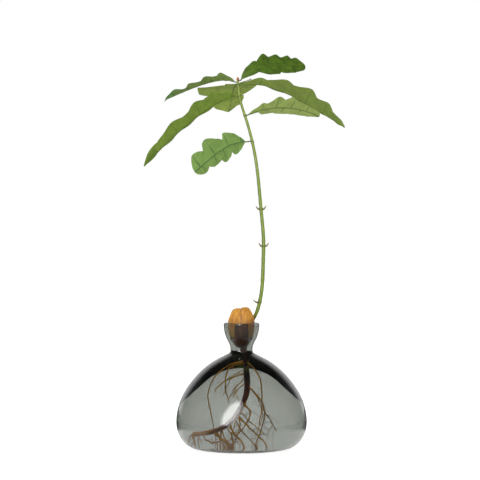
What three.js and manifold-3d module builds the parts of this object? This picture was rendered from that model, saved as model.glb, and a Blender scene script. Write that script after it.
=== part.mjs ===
// A blown-glass bud vase for sprouting one acorn: a round water bulb, a narrow neck and a small open cup.
// The acorn sits in the cup, its taproot hangs through the neck into the bulb, and its shoot rises beside it.
// Units are millimetres. +Z is up, +Y is away from the viewer, and the origin is the middle of the flat foot.
import * as THREE from "three";
import { mergeVertices } from "three/addons/utils/BufferGeometryUtils.js";
import Module from "manifold-3d";

const wasm = await Module();
wasm.setup();

// ---- Driving dimensions -------------------------------------------------------------------------
const GAP = 0.3; // clearance between pieces that touch
const FOOT_RADIUS = 37; // flat ground face under the bulb
const NECK_HEIGHT = 88; // where the neck meets the bulb
const RIM_HEIGHT = 115.2;
const WALL = 2.2; // blown wall
const FLOOR = 4.2; // the bulb is thicker under the water
const VASE_SIDES = 40;

const ACORN_X = -0.2; // the acorn leans to the front left, and leaves room for the shoot behind it
const ACORN_Y = -0.5;
const COAT_THICKNESS = 0.55;

const STEM_FOOT_RADIUS = 1.1;
const STEM_RADIUS = 1.65;
const STEM_TOP_RADIUS = 0.95;
const PETIOLE_RADIUS = 0.6;
const LEAF_THICKNESS = 0.5;

const root = new THREE.Group();

// ---- Finishes -----------------------------------------------------------------------------------
const finish = (color, roughness) => new THREE.MeshStandardMaterial({ color, roughness, metalness: 0 });
const smokedGlass = finish(0x6f7674, 0.05);
const nutFlesh = finish(0xc98a2e, 0.45);
const nutShell = finish(0x2c1a12, 0.3);
const greenBark = finish(0x7a9132, 0.5);
const budScale = finish(0x8a4a1e, 0.6);
const leafGreen = finish(0x76974a, 0.5);
const rootBark = finish(0x5a3520, 0.7);
const fineRoot = finish(0x8f6a30, 0.7);

// ---- Helpers ------------------------------------------------------------------------------------
const v2 = (radius, height) => new THREE.Vector2(radius, height);
const v3 = (x, y, z) => new THREE.Vector3(x, y, z);

function addPiece(name, geometry, material) {
  const mesh = new THREE.Mesh(geometry, material);
  mesh.name = name;
  root.add(mesh);
  return mesh;
}

// A solid turned about the Z axis from (radius, height) points that start and end on the axis.
function turned(points, sides) {
  return new THREE.LatheGeometry(points, sides).rotateX(Math.PI / 2);
}

// Booleans: a three.js geometry to a manifold-3d solid, and back.
function solid(geometry) {
  const plain = (geometry.index ? geometry.toNonIndexed() : geometry.clone()).deleteAttribute("normal");
  plain.deleteAttribute("uv");
  const merged = mergeVertices(plain, 1e-4);
  return new wasm.Manifold(
    new wasm.Mesh({
      numProp: 3,
      vertProperties: new Float32Array(merged.attributes.position.array),
      triVerts: new Uint32Array(merged.index.array),
    }),
  );
}

function geometryOf(body) {
  const mesh = body.getMesh();
  return new THREE.BufferGeometry()
    .setAttribute("position", new THREE.BufferAttribute(mesh.vertProperties, 3))
    .setIndex(new THREE.BufferAttribute(mesh.triVerts, 1));
}

// A closed cylinder bent along a curve: it tapers from startRadius through midRadius to endRadius.
function bentCylinder(route, startRadius, endRadius, sides, steps, midRadius) {
  const curve = new THREE.CatmullRomCurve3(route, false, "centripetal");
  const frames = curve.computeFrenetFrames(steps, false);
  const geometry = new THREE.CylinderGeometry(1, 1, 1, sides, steps);
  const position = geometry.attributes.position;
  for (let i = 0; i < position.count; i++) {
    const along = position.getY(i) + 0.5;
    const step = Math.round(along * steps);
    const bow = 4 * along * (1 - along);
    const straight = startRadius + (endRadius - startRadius) * along;
    const radius = straight + (midRadius - (startRadius + endRadius) / 2) * bow;
    const point = curve.getPointAt(along);
    point.addScaledVector(frames.normals[step], position.getZ(i) * radius);
    point.addScaledVector(frames.binormals[step], position.getX(i) * radius);
    position.setXYZ(i, point.x, point.y, point.z);
  }
  return geometry;
}

// ---- Glass vase ---------------------------------------------------------------------------------
// One blown body. Its outline is two smooth curves that meet in the crease under the neck, and the
// inside follows the outside one wall further in.
const bulbOutline = new THREE.SplineCurve([
  v2(FOOT_RADIUS, 0),
  v2(46.4, 1.4),
  v2(54.4, 7),
  v2(59.2, 17),
  v2(60, 27),
  v2(57.9, 39),
  v2(52.8, 51.5),
  v2(45.3, 62.5),
  v2(35.3, 73),
  v2(23.5, 81.4),
  v2(12.4, NECK_HEIGHT - 1),
]);
const cupOutline = new THREE.SplineCurve([
  v2(10.5, NECK_HEIGHT + 0.8),
  v2(10.2, NECK_HEIGHT + 2.8),
  v2(10.3, NECK_HEIGHT + 4.6),
  v2(11.1, NECK_HEIGHT + 7.4),
  v2(13.5, NECK_HEIGHT + 12.4),
  v2(15.4, NECK_HEIGHT + 17.6),
  v2(16.2, NECK_HEIGHT + 22),
  v2(16.5, RIM_HEIGHT - WALL / 2),
]);

// The same curve moved one wall thickness towards the axis.
function insideOf(curve, count) {
  return Array.from({ length: count + 1 }, (_, i) => {
    const point = curve.getPoint(i / count);
    const tangent = curve.getTangent(i / count);
    return v2(point.x - tangent.y * WALL, Math.max(point.y + tangent.x * WALL, FLOOR));
  });
}

const BULB_STEPS = 14;
const CUP_STEPS = 8;
const lip = cupOutline.getPoint(1);
const lipArc = [0.25, 0.5, 0.75].map((part) => {
  const angle = Math.PI * part;
  return v2(lip.x - WALL / 2 + (WALL / 2) * Math.cos(angle), lip.y + (WALL / 2) * Math.sin(angle));
});
const vaseProfile = [
  v2(0, 0),
  ...bulbOutline.getPoints(BULB_STEPS),
  ...cupOutline.getPoints(CUP_STEPS),
  ...lipArc,
  ...insideOf(cupOutline, CUP_STEPS).reverse(),
  ...insideOf(bulbOutline, BULB_STEPS).reverse(),
  v2(0, FLOOR),
];
addPiece("glass_vase", turned(vaseProfile, VASE_SIDES), smokedGlass);

// ---- Root collar, stem and terminal bud ---------------------------------------------------------
// The collar is the knot under the acorn's tip from which the shoot turns up and the taproot goes down.
const COLLAR = v3(1.3, 0.8, 89.2);
const collarOutline = [v2(0, -2.1), v2(1.6, -1.8), v2(2.4, 0), v2(2, 1.5), v2(0, 2.1)];
addPiece("root_collar", turned(collarOutline, 10).translate(COLLAR.x, COLLAR.y, COLLAR.z), rootBark);

const stemRoute = [
  v3(3.9, 3.9, 89.6),
  v3(4.4, 5, 93.5),
  v3(5.5, 6.6, 100),
  v3(7, 8, 107),
  v3(8.4, 8.4, 114),
  v3(12.3, 7.2, 121),
  v3(16, 5.6, 131),
  v3(19, 3.6, 149),
  v3(20, 1.6, 172),
  v3(20.2, 0.6, 193),
  v3(18.4, 0, 215),
  v3(16.4, 0, 237),
  v3(13.6, 0, 262),
  v3(9.6, 0, 283),
  v3(3.4, 0, 305),
  v3(-1.6, 0, 322),
  v3(-3.4, 0, 337.5),
];
const stemGrownBy = (by) =>
  bentCylinder(stemRoute, STEM_FOOT_RADIUS + by, STEM_TOP_RADIUS + by, 8, 40, STEM_RADIUS + by);
addPiece("stem", stemGrownBy(0), greenBark);

const stemTop = stemRoute.at(-1);
const budOutline = [v2(0, 0), v2(0.9, 0.3), v2(1.2, 1.4), v2(0.7, 2.8), v2(0, 3.8)];
addPiece("terminal_bud", turned(budOutline, 8).translate(stemTop.x, stemTop.y, stemTop.z + GAP), budScale);

// ---- Acorn --------------------------------------------------------------------------------------
// Two swollen seed halves, split down the middle, above a dark shell that still clasps them in front.
// The shoot lies in a groove down their back.
const ACORN_TIP = 92.8;
const ACORN_SIDES = 24;
const acornOutline = [
  v2(0, ACORN_TIP),
  v2(2.6, ACORN_TIP + 0.9),
  v2(6.2, ACORN_TIP + 3.6),
  v2(9, ACORN_TIP + 7.2),
  v2(11.1, ACORN_TIP + 12),
  v2(12, ACORN_TIP + 17),
  v2(12.1, ACORN_TIP + 22),
  v2(11.5, ACORN_TIP + 27),
  v2(10.1, ACORN_TIP + 31),
  v2(8.6, ACORN_TIP + 34),
  v2(6.8, ACORN_TIP + 36),
  v2(0, ACORN_TIP + 35.6),
];
const shootGroove = solid(stemGrownBy(GAP));
const acorn = solid(turned(acornOutline, ACORN_SIDES).translate(ACORN_X, ACORN_Y, 0)).subtract(shootGroove);
const HALF_BOX = 40;
for (const [name, side] of [
  ["acorn_half_left", -1],
  ["acorn_half_right", 1],
]) {
  const halfSpace = new THREE.BoxGeometry(HALF_BOX, HALF_BOX, 2 * HALF_BOX).translate(
    ACORN_X + side * (HALF_BOX / 2 + GAP / 2),
    0,
    ACORN_TIP,
  );
  addPiece(name, geometryOf(acorn.intersect(solid(halfSpace))), nutFlesh);
}

// The shell is the acorn grown by a gap and the shell's own thickness, less the grown acorn. It is open
// behind, where the shoot came out, and notched at both sides where it split.
const SHELL_TOP = RIM_HEIGHT - 1;
const grown = (by) => {
  const points = acornOutline.slice(1, -1).map((p) => v2(p.x + by, p.y - by * 0.4));
  const outline = [v2(0, ACORN_TIP - by), ...points, v2(0, ACORN_TIP + 36)];
  return solid(turned(outline, ACORN_SIDES).translate(ACORN_X, ACORN_Y, 0));
};
const box = (sizeX, sizeY, sizeZ, x, y, z) =>
  solid(new THREE.BoxGeometry(sizeX, sizeY, sizeZ).translate(x, y, z));
const shellLow = ACORN_TIP + 4.6;
const shell = grown(GAP + COAT_THICKNESS)
  .subtract(grown(GAP))
  .subtract(shootGroove)
  .subtract(box(40, 40, 40, 0, 0, SHELL_TOP + 20))
  .subtract(box(40, 20, 40, 0, ACORN_Y + 14, shellLow + 20))
  .subtract(box(10, 40, 40, ACORN_X - 10.8, ACORN_Y, shellLow + 25))
  .subtract(box(10, 40, 40, ACORN_X + 10.8, ACORN_Y, shellLow + 25))
  .subtract(box(6, 6, 8, ACORN_X + 2, ACORN_Y + 2.6, ACORN_TIP - 1));
addPiece("seed_shell", geometryOf(shell), nutShell);

// ---- Bud scales on the stem ---------------------------------------------------------------------
// Small pointed scales in pairs at the two joints of the stem, and one near its foot.
const stemCurve = new THREE.CatmullRomCurve3(stemRoute, false, "centripetal");
function stemPointAt(height) {
  let low = 0;
  let high = 1;
  for (let i = 0; i < 30; i++) {
    const middle = (low + high) / 2;
    if (stemCurve.getPointAt(middle).z < height) low = middle;
    else high = middle;
  }
  return stemCurve.getPointAt(low);
}
for (const [name, height, side, reach, rise] of [
  ["upper_scale_left", 220, -1, 2.4, 3],
  ["upper_scale_right", 220, 1, 2.4, 3.4],
  ["middle_scale_left", 186, -1, 2.2, 3.4],
  ["middle_scale_right", 186, 1, 2.4, 3.4],
  ["lower_scale_left", 134, -1, 3.6, 3],
]) {
  const foot = stemPointAt(height);
  foot.x += side * (STEM_RADIUS + GAP + 0.55);
  const middle = v3(foot.x + side * reach * 0.55, foot.y, foot.z + rise * 0.35);
  const tip = v3(foot.x + side * reach, foot.y, foot.z + rise);
  addPiece(name, bentCylinder([foot, middle, tip], 0.5, 0.16, 5, 4, 0.4), budScale);
}

// ---- Leaves -------------------------------------------------------------------------------------
// Each leaf is a flat block bent over a surface: a midrib curve, a blade folded up along it, turned about
// it by roll and twist, and a lobed margin whose lobes lean towards the tip.
const LEAF_STEPS = 22;
const BLADE_START = 0.07; // the petiole is the first part of the midrib
const LOBE_LEAN = 0.55;
const degrees = THREE.MathUtils.degToRad;
const smooth = THREE.MathUtils.smoothstep;

// Half the blade's width at a share t of the midrib, as a share of the widest half width. A fullness over 1
// moves the widest place towards the tip.
function bladeShare(t, lobes, fullness) {
  if (t < BLADE_START) return 0;
  const u = (t - BLADE_START) / (1 - BLADE_START);
  const body = Math.pow(Math.sin(Math.PI * Math.pow(u, fullness)), 0.75);
  const tip = Math.sqrt(Math.max(1 - u, 0)) * 0.35 * smooth(u, 0.7, 1);
  const wave = Math.cos(2 * Math.PI * (lobes * u - 0.35));
  return (body * (0.84 + 0.16 * wave) + tip) * smooth(u, 0, 0.12);
}

// The cubic that passes four points at equal steps.
function cubicThrough(points) {
  const [a, b, c, d] = points.map((p) => v3(...p));
  const mix = (wa, wb, wc, wd) =>
    v3().addScaledVector(a, wa).addScaledVector(b, wb).addScaledVector(c, wc).addScaledVector(d, wd);
  return new THREE.CubicBezierCurve3(a, mix(-5 / 6, 3, -1.5, 1 / 3), mix(1 / 3, -1.5, 3, -5 / 6), d);
}

function leafGeometry({ midrib, halfWidth, roll, twist = 0, fold, lobes = 5, fullness = 1.25 }) {
  const rib = cubicThrough(midrib);
  const length = rib.getLength();
  const geometry = new THREE.BoxGeometry(1, 2, 1, LEAF_STEPS, 4, 1);
  const position = geometry.attributes.position;
  const up = v3(0, 0, 1);
  for (let i = 0; i < position.count; i++) {
    const t = position.getX(i) + 0.5;
    const across = position.getY(i);
    const width = halfWidth * bladeShare(t, lobes, fullness);
    const lean = (LOBE_LEAN * Math.abs(across) * width) / length;
    const forward = Math.min(t + lean * (1 - t), 1);
    const tangent = rib.getTangent(forward);
    const side = new THREE.Vector3().crossVectors(up, tangent).normalize();
    const normal = new THREE.Vector3().crossVectors(tangent, side);
    const turn = degrees(roll + twist * t);
    const acrossWay = side.clone().multiplyScalar(Math.cos(turn)).addScaledVector(normal, Math.sin(turn));
    const face = normal.clone().multiplyScalar(Math.cos(turn)).addScaledVector(side, -Math.sin(turn));
    const reach = Math.max(width, 0) * Math.abs(across) + PETIOLE_RADIUS * Math.min(1, 2 * Math.abs(across));
    const point = rib.getPoint(forward);
    point.addScaledVector(acrossWay, Math.sign(across) * reach * Math.cos(degrees(fold)));
    point.addScaledVector(face, reach * Math.sin(degrees(fold)));
    const thick = THREE.MathUtils.lerp(2 * PETIOLE_RADIUS, LEAF_THICKNESS, smooth(t, 0.03, 0.3));
    point.addScaledVector(face, position.getZ(i) * thick);
    position.setXYZ(i, point.x, point.y, point.z);
  }
  return geometry;
}

const leaves = {
  leaf_top_right: {
    midrib: [[-1.6, 1.6, 337.6], [16.2, 10, 351.5], [36.9, 22, 355], [59.4, 35, 356.6]],
    halfWidth: 17,
    roll: 44,
    fold: 2,
  },
  leaf_top_left: {
    midrib: [[-5.4, 1.4, 336.6], [-23.1, 8, 338.6], [-46.5, 20, 332.6], [-71.7, 32, 323]],
    halfWidth: 13,
    roll: 30,
    twist: -70,
    fold: 18,
    fullness: 1.05,
  },
  leaf_back: {
    midrib: [[-3.4, 1.6, 335], [-7.6, 26, 333.5], [-9.8, 52, 326], [-12.8, 75, 315]],
    halfWidth: 29,
    roll: -9,
    fold: 6,
    lobes: 3.6,
    fullness: 0.95,
  },
  leaf_long_left: {
    midrib: [[-4.2, -0.8, 323.6], [-27, -10, 314.2], [-57.1, -24, 289.6], [-87.7, -35, 257.3]],
    halfWidth: 17,
    roll: 34,
    fold: 16,
  },
  leaf_long_right: {
    midrib: [[-1.3, -0.6, 333.2], [27.6, -7, 331], [60.7, -16, 314.4], [93.5, -25, 293]],
    halfWidth: 19,
    roll: -26,
    fold: 22,
    fullness: 1.4,
  },
  leaf_lower_right: {
    midrib: [[4.9, 1, 306], [23, 9, 312.6], [46.4, 18, 314], [72.8, 27, 306.8]],
    halfWidth: 16,
    roll: -32,
    fold: 14,
    lobes: 4,
    fullness: 1.15,
  },
  leaf_lower_left: {
    midrib: [[6.2, -0.9, 281.8], [-9.4, -8, 278.6], [-23.6, -14, 269.6], [-42.6, -20, 253]],
    halfWidth: 15.5,
    roll: 76,
    fold: 4,
    lobes: 4,
    fullness: 1.3,
  },
};
for (const [name, shape] of Object.entries(leaves)) addPiece(name, leafGeometry(shape), leafGreen);

// ---- Roots --------------------------------------------------------------------------------------
// The taproot drops through the neck, curves to the left and forks near the floor. The side roots lie in
// the front half of the bulb, so that the back half stays clear.
const taprootRoute = [
  v3(1.9, 1, 86.4),
  v3(3.1, 0.6, 74),
  v3(3.5, 0, 62),
  v3(4.1, -0.4, 52),
  v3(3.4, -0.6, 43.6),
  v3(-0.5, -0.8, 34),
  v3(-9.3, -0.6, 22.6),
  v3(-20.4, -0.4, 18),
  v3(-34.4, -0.8, 16.9),
];
addPiece("taproot", bentCylinder(taprootRoute, 2.1, 0.9, 8, 24, 1.7), rootBark);
const forkRoute = [v3(-35.4, -2.4, 15), v3(-34, -4, 11.5), v3(-31.5, -7, 6.4)];
addPiece("taproot_fork", bentCylinder(forkRoute, 0.9, 0.7, 6, 6, 0.8), fineRoot);

const SIDE_ROOT_FOOT = 0.7;
const SIDE_ROOT_TIP = 0.28;
const sideRoots = {
  side_root_right: [
    [6.6, -2, 49],
    [9.5, -3.6, 45.1],
    [14.2, -6, 39.4],
    [16.8, -8, 33.3],
    [16.1, -7.4, 26.3],
    [10.2, -5.6, 12.4],
    [7, -6, 6],
  ],
  side_root_far_right: [
    [5.8, -2.4, 70.6],
    [11.4, -6, 64],
    [14.4, -9, 56],
    [15.3, -11, 43.8],
    [14.4, -11, 32.6],
    [12.9, -10, 22],
  ],
  side_root_far_left: [
    [-1.6, -2.6, 73],
    [-12, -6, 68.6],
    [-22.5, -12, 59],
    [-25.7, -14, 48.7],
    [-24.1, -12, 37.3],
    [-19.6, -4.6, 20],
  ],
  side_root_left: [
    [0.4, -2.6, 70],
    [-10.4, -6, 65.4],
    [-12.1, -8, 57.3],
    [-11.9, -8, 50.6],
    [-9.1, -6, 38.3],
  ],
  side_root_cross: [
    [0.6, -2, 60.6],
    [-4, -4, 59.5],
    [-9.4, -5.4, 57.3],
    [-16.1, -7, 52.5],
    [-20.4, -8, 47],
  ],
  side_root_long: [
    [-1.4, -3.6, 27],
    [3.7, -5, 22.1],
    [10.1, -8, 17.6],
    [16.9, -12, 12.7],
    [24, -16, 7],
  ],
  side_root_loop: [
    [3.2, -3.6, 35.6],
    [5.9, -5, 32],
    [5.7, -6.6, 27.7],
    [3.1, -8.4, 23.2],
    [-1.4, -10, 18.2],
    [-5.4, -11, 13],
  ],
  side_root_floor_right: [
    [-18.8, -3.4, 16.4],
    [-9.7, -8, 12.5],
    [3.3, -14, 9.6],
    [15.6, -20, 7.4],
    [24, -23, 6],
  ],
  side_root_floor_middle: [
    [-7.3, -3.4, 19.6],
    [-2.5, -6.4, 15],
    [6.2, -12, 9.4],
    [12.4, -17, 6.4],
  ],
  side_root_floor_left: [
    [-14.4, -3.6, 15.6],
    [-14.8, -5, 11.6],
    [-13.4, -8, 8.4],
    [-12, -12, 6],
  ],
};
for (const [name, route] of Object.entries(sideRoots)) {
  const points = route.map((p) => v3(...p));
  addPiece(name, bentCylinder(points, SIDE_ROOT_FOOT, SIDE_ROOT_TIP, 5, 3 * points.length, 0.5), fineRoot);
}

export default root;
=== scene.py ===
import bmesh
import bpy
import numpy as np
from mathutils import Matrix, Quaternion, Vector


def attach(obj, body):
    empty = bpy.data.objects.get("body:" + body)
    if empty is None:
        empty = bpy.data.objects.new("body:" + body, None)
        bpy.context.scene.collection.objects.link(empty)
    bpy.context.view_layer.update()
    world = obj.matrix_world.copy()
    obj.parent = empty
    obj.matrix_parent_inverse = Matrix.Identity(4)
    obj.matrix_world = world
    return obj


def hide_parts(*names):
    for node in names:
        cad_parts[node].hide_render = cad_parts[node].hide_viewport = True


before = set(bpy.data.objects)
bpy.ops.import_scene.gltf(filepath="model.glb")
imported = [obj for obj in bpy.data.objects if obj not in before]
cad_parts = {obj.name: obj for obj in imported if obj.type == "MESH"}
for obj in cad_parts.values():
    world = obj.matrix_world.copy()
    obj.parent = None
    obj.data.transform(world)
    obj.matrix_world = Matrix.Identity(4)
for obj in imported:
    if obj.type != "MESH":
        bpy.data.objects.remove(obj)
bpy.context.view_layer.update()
scene = bpy.context.scene
MM = 0.001

# ---- Camera and studio --------------------------------------------------------------------------
# The vase stands on a pale table in an even white studio. The camera is level, a little under the
# leaves and 1.5 m away.
VIEW_WIDTH = 441.6
VIEW_DISTANCE = 1500
SENSOR_WIDTH = 36

camera = bpy.data.objects.new("camera", bpy.data.cameras.new("camera"))
camera.data.sensor_width = SENSOR_WIDTH
camera.data.lens = SENSOR_WIDTH * VIEW_DISTANCE / VIEW_WIDTH
camera.location = (-1.4 * MM, -VIEW_DISTANCE * MM, 191.4 * MM)
camera.rotation_euler = (np.pi / 2, 0, 0)
scene.collection.objects.link(camera)
scene.camera = camera
scene.view_settings.view_transform = "Standard"
scene.cycles.use_denoising = True
scene.cycles.max_bounces = 24
scene.cycles.transmission_bounces = 24
scene.cycles.transparent_max_bounces = 16
scene.cycles.glossy_bounces = 8
scene.cycles.diffuse_bounces = 4
scene.cycles.caustics_reflective = False


def mesh_object(name, vertices, faces, material, **attributes):
    """A smooth mesh from arrays of points in millimetres and of corner numbers, with one value for each
    point in every named attribute. Its doubles are merged and its faces turned outwards."""
    mesh = bpy.data.meshes.new(name)
    mesh.from_pydata((np.asarray(vertices) * MM).tolist(), [], np.asarray(faces).tolist())
    for key, values in attributes.items():
        layer = mesh.attributes.new(key, "FLOAT", "POINT")
        layer.data.foreach_set("value", np.ravel(values).astype(np.float32))
    edit = bmesh.new()
    edit.from_mesh(mesh)
    bmesh.ops.remove_doubles(edit, verts=edit.verts, dist=1e-7)
    bmesh.ops.dissolve_degenerate(edit, edges=edit.edges, dist=1e-8)
    bmesh.ops.recalc_face_normals(edit, faces=edit.faces)
    edit.to_mesh(mesh)
    edit.free()
    mesh.polygons.foreach_set("use_smooth", np.ones(len(mesh.polygons), dtype=bool))
    mesh.materials.append(material)
    made = bpy.data.objects.new(name, mesh)
    scene.collection.objects.link(made)
    return made


def colour(red, green, blue):
    """A linear colour from its everyday values of 0 to 255."""
    c = np.array([red, green, blue]) / 255
    return (*np.where(c < 0.04045, c / 12.92, ((c + 0.055) / 1.055) ** 2.4).tolist(), 1)


def add_node(tree, kind, inputs=None, **settings):
    """A shader node with its settings. An input is given a value, or another node's output to link."""
    node = tree.nodes.new("ShaderNode" + kind)
    for key, value in settings.items():
        setattr(node, key, value)
    for key, value in (inputs or {}).items():
        if isinstance(value, bpy.types.NodeSocket):
            tree.links.new(value, node.inputs[key])
        else:
            node.inputs[key].default_value = value
    return node


def mixed(tree, share, first, second):
    """The colour that goes from the first to the second as share goes from 0 to 1."""
    node = add_node(tree, "Mix", {0: share, 6: first, 7: second}, data_type="RGBA")
    return node.outputs[2]


def eased(tree, value, low, high, start=0.0, end=1.0):
    """Start below low, end above high, and a smooth step between them."""
    inputs = {"Value": value, 1: low, 2: high, 3: start, 4: end}
    return add_node(tree, "MapRange", inputs, interpolation_type="SMOOTHSTEP").outputs["Result"]


def attribute_value(tree, name):
    """The value that the mesh keeps for each of its points under a name."""
    return add_node(tree, "Attribute", attribute_name=name).outputs["Fac"]


def node_material(name, **values):
    """A node material, its tree, and its Principled shader with values set on its own sockets."""
    material = bpy.data.materials.new(name)
    material.use_nodes = True
    shader = material.node_tree.nodes["Principled BSDF"]
    for key, value in values.items():
        shader.inputs[key.replace("_", " ")].default_value = value
    return material, material.node_tree, shader


table_finish, table_tree, table_shader = node_material(
    "table_finish", Roughness=1.0, Specular_IOR_Level=0.0, Emission_Color=(1, 1, 1, 1)
)
TABLE_WHITE = (0.98, 0.98, 0.98, 1)
MIRRORED_TABLE = (0.05, 0.05, 0.05, 1)
FRONT_TABLE = (0.25, 0.25, 0.25, 1)
CAMERA_GLOW = 0.3


def both(tree, first, second):
    """The product of two values."""
    return add_node(tree, "Math", {0: first, 1: second}, operation="MULTIPLY").outputs[0]


# Shiny surfaces mirror the table white only round the foot, and glass shows its front part grey.
table_ray = add_node(table_tree, "LightPath").outputs
table_place = add_node(table_tree, "TexCoord").outputs["Object"]
table_reach = add_node(table_tree, "VectorMath", {0: table_place}, operation="LENGTH").outputs["Value"]
far_table = eased(table_tree, table_reach, 0.095, 0.15)
shine = mixed(table_tree, far_table, TABLE_WHITE, MIRRORED_TABLE)
mirrored_ray = both(table_tree, table_ray["Is Glossy Ray"], table_ray["Is Reflection Ray"])
table_tone = mixed(table_tree, mirrored_ray, TABLE_WHITE, shine)
table_depth = add_node(table_tree, "SeparateXYZ", {0: table_place}).outputs["Y"]
front_table = eased(table_tree, table_depth, -0.09, -0.06, 1.0, 0.0)
front_ray = both(table_tree, front_table, table_ray["Is Glossy Ray"])
table_tone = mixed(table_tree, front_ray, table_tone, FRONT_TABLE)
table_tree.links.new(table_tone, table_shader.inputs["Base Color"])
table_glow = both(table_tree, table_ray["Is Camera Ray"], CAMERA_GLOW)
table_tree.links.new(table_glow, table_shader.inputs["Emission Strength"])
CORNERS = np.array([(-1, -1, 0), (1, -1, 0), (1, 1, 0), (-1, 1, 0)])
TABLE_REACH = 6000
TABLE_DEPTH = (0, 0, -0.05)
table_top = mesh_object("table_top", CORNERS * TABLE_REACH + TABLE_DEPTH, [(0, 1, 2, 3)], table_finish)

# The white room is seen as white. Its two ends are grey, which draws the glass's edges darker. What shines
# back from a surface meets a dark room in front and a white one behind, and what passes through glass
# meets a white back wall, with a greyer front and darkness overhead.
world = bpy.data.worlds.new("white_studio")
scene.world = world
world.use_nodes = True
room = world.node_tree
view_way = add_node(room, "TexCoord").outputs["Generated"]
way_parts = add_node(room, "SeparateXYZ", {0: view_way}).outputs
sideways = add_node(room, "Math", {0: way_parts["X"]}, operation="ABSOLUTE").outputs[0]
WHITE = (1, 1, 1, 1)
END_GREY = (0.2, 0.2, 0.2, 1)
MIRRORED_GREY = (0.02, 0.02, 0.02, 1)
room_colour = mixed(room, eased(room, sideways, 0.7, 0.93), WHITE, END_GREY)
mirrored = mixed(room, eased(room, way_parts["Y"], 0.64, 0.88), MIRRORED_GREY, room_colour)
front_share = eased(room, way_parts["Y"], -0.4, 0.3, 0.5, 1.0)
above_share = eased(room, way_parts["Z"], 0.3, 0.6, 1.15, 0.12)
BLACK = (0, 0, 0, 1)
passed = mixed(room, both(room, front_share, above_share), BLACK, room_colour)
passed.node.clamp_factor = False
ray = add_node(room, "LightPath").outputs
unseen = mixed(room, ray["Is Glossy Ray"], room_colour, mirrored)
unseen = mixed(room, ray["Is Transmission Ray"], unseen, passed)
room.links.new(mixed(room, ray["Is Camera Ray"], unseen, WHITE), room.nodes["Background"].inputs["Color"])


def area_lamp(name, place, aim, size, power, shape="RECTANGLE", tilt=0):
    """A soft box at a place, turned to face a point, both in millimetres, and tilted by degrees about the
    line between them. The camera doesn't see it."""
    lamp = bpy.data.lights.new(name, "AREA")
    lamp.shape = shape
    lamp.size, lamp.size_y = size[0] * MM, size[1] * MM
    lamp.energy = power
    made = bpy.data.objects.new(name, lamp)
    scene.collection.objects.link(made)
    made.location = np.array(place) * MM
    facing = Vector(np.array(aim) - np.array(place)).to_track_quat("-Z", "Y")
    made.rotation_euler = (facing @ Quaternion((0, 0, 1), np.radians(tilt))).to_euler()
    made.visible_camera = False
    return made


overhead_box = area_lamp("overhead_soft_box", (-300, -500, 1400), (0, 0, 150), (1200, 1200), 14)
overhead_box.visible_glossy = overhead_box.visible_transmission = False
# The soft oval window that the bulb mirrors: a bright middle and a weaker border.
WINDOW_PLACE = (-390, -1140, 500)
WINDOW_AIM = (-8.7, -58, 34)
for name, size, power in (("window_core", (420, 1080), 13), ("window_glow", (600, 1340), 9)):
    window = area_lamp(name, WINDOW_PLACE, WINDOW_AIM, size, power, "ELLIPSE", tilt=-32)
    window.visible_diffuse = window.visible_transmission = False

# ---- Glass vase ---------------------------------------------------------------------------------
# One body of smoked glass, blown and turned round: a flat foot, a round bulb, a pinched neck and a
# small open cup with a fire-polished rim. The wall is 2.2 mm, and thicker under the water.
WALL = 2.2
FLOOR = 4.2
NECK_HEIGHT = 88
RIM_HEIGHT = 115.2
BULB_OUTLINE = [
    (37, 0),
    (46.4, 1.4),
    (54.4, 7),
    (59.2, 17),
    (60, 27),
    (57.9, 39),
    (52.8, 51.5),
    (45.3, 62.5),
    (35.3, 73),
    (23.5, 81.4),
    (12.4, NECK_HEIGHT - 1),
]
CUP_OUTLINE = [
    (10.5, NECK_HEIGHT + 0.8),
    (10.2, NECK_HEIGHT + 2.8),
    (10.3, NECK_HEIGHT + 4.6),
    (11.1, NECK_HEIGHT + 7.4),
    (13.5, NECK_HEIGHT + 12.4),
    (15.4, NECK_HEIGHT + 17.6),
    (16.2, NECK_HEIGHT + 22),
    (16.5, RIM_HEIGHT - WALL / 2),
]


def smooth_line(points, count):
    """The natural cubic spline through points, by distance along them: its second slope is unbroken and
    is nothing at both ends. Returns count points."""
    points = np.array(points, dtype=float)
    at = np.concatenate([[0], np.cumsum(np.linalg.norm(np.diff(points, axis=0), axis=1))])
    h = np.diff(at)[:, None]
    n = len(points)
    system = np.eye(n)
    right = np.zeros_like(points)
    for i in range(1, n - 1):
        system[i, i - 1 : i + 2] = h[i - 1, 0], 2 * (h[i - 1, 0] + h[i, 0]), h[i, 0]
    right[1:-1] = 6 * (np.diff(points[1:], axis=0) / h[1:] - np.diff(points[:-1], axis=0) / h[:-1])
    bend = np.linalg.solve(system, right)
    s = np.linspace(0, at[-1], count)
    k = np.clip(np.searchsorted(at, s, side="right") - 1, 0, n - 2)
    a = (at[k + 1] - s)[:, None]
    b = (s - at[k])[:, None]
    hk = h[k]
    return (
        bend[k] * a**3 / (6 * hk)
        + bend[k + 1] * b**3 / (6 * hk)
        + (points[k] / hk - bend[k] * hk / 6) * a
        + (points[k + 1] / hk - bend[k + 1] * hk / 6) * b
    )


def turned_surface(profile, sides):
    """Each profile point (radius, height) carried round the Z axis in equal steps: points and faces."""
    profile = np.array(profile, dtype=float)
    angle = np.linspace(0, 2 * np.pi, sides, endpoint=False)
    ring = np.stack([np.cos(angle), np.sin(angle)], axis=1)
    heights = np.broadcast_to(profile[:, None, 1:], (len(profile), sides, 1))
    points = np.concatenate([profile[:, None, :1] * ring[None], heights], axis=2)
    return points.reshape(-1, 3), grid_faces(len(profile), sides, wrap=True)


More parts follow.
